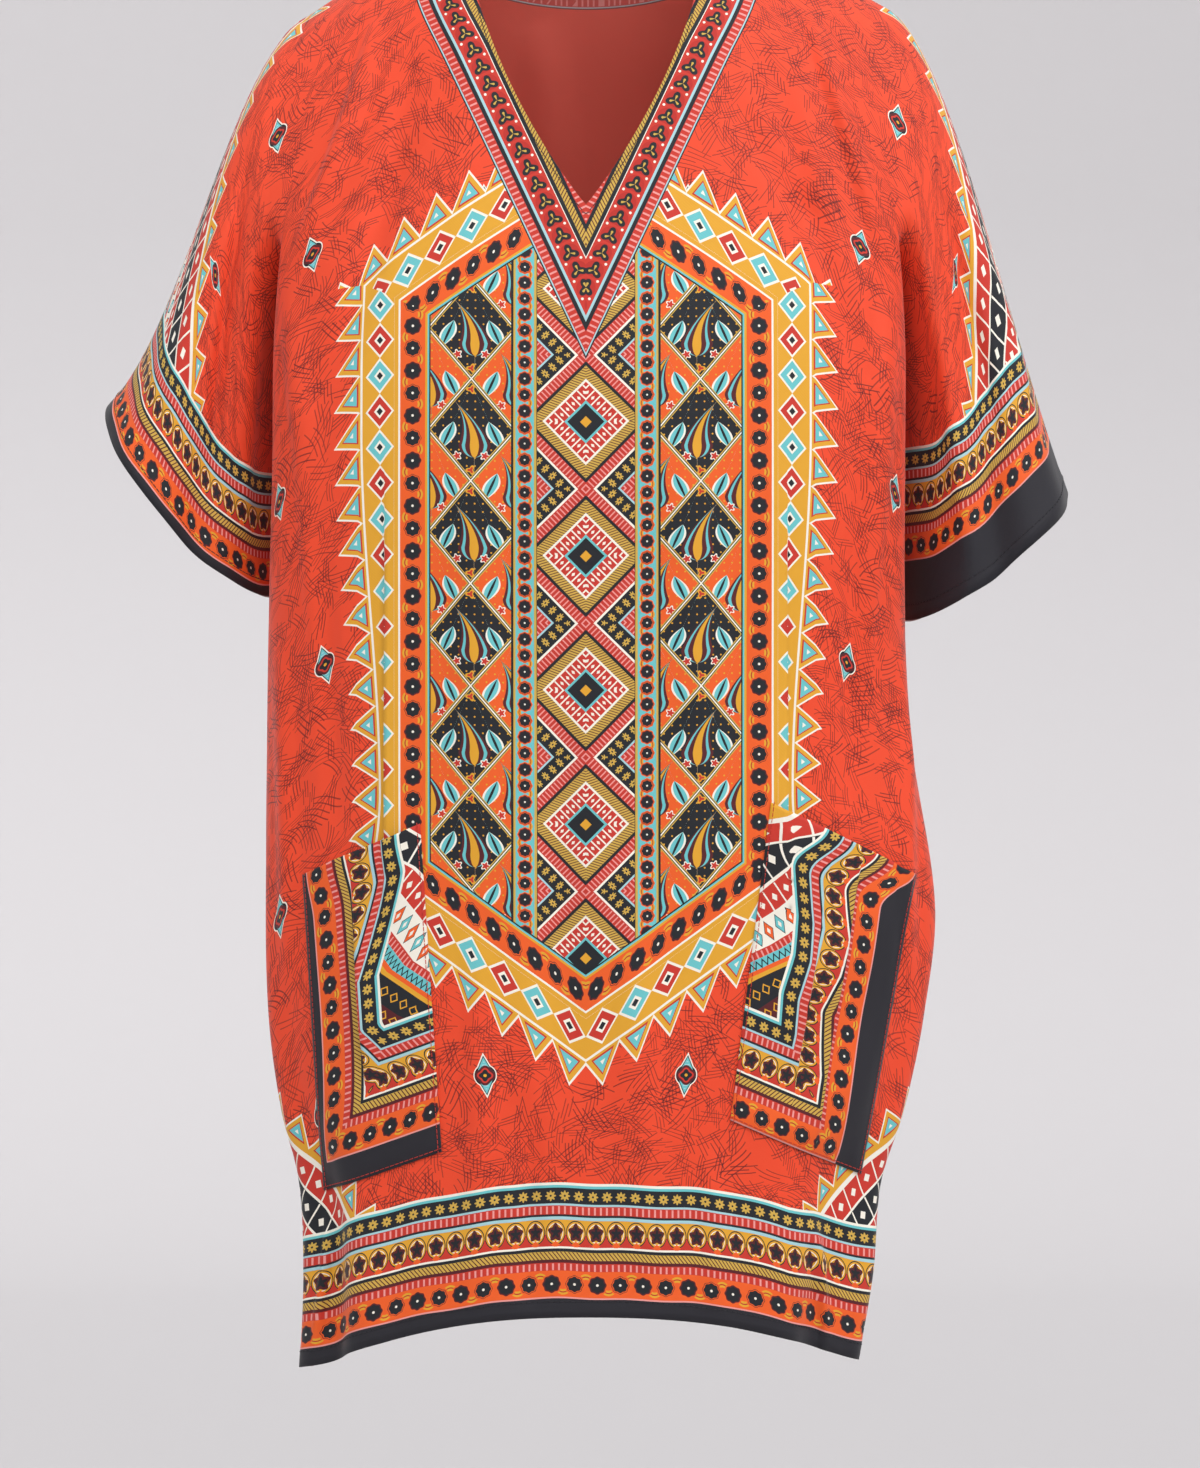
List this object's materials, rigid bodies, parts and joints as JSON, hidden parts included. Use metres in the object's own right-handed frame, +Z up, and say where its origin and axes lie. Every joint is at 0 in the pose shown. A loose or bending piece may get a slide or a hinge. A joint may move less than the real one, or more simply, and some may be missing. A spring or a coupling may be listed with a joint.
{
  "type": "kaftan top",
  "caption": "Loose T-cut kaftan top of printed cloth in its worn, hollow form, with a deep V neck, wide short sleeves and patch pockets with slanted tops.",
  "frame": {"origin": "mid-point between the shoulders, level with the neck's highest points, where the wearer's shoulders hold the top", "axes": "+Z up, the front faces -Y, +X towards the viewer's right when looking at the front"},
  "size_m": [0.5632, 0.2363, 0.86],
  "materials": {
    "printed_cloth": "smooth plain-weave cloth with a printed border and a faint sheen",
    "pocket_cloth": "the same printed cloth, cut with its dark border on two edges"
  },
  "bodies": {
    "root": {"front": "printed_cloth", "back": "printed_cloth", "pocket_left": "pocket_cloth", "pocket_right": "pocket_cloth"}
  },
  "joints": []
}
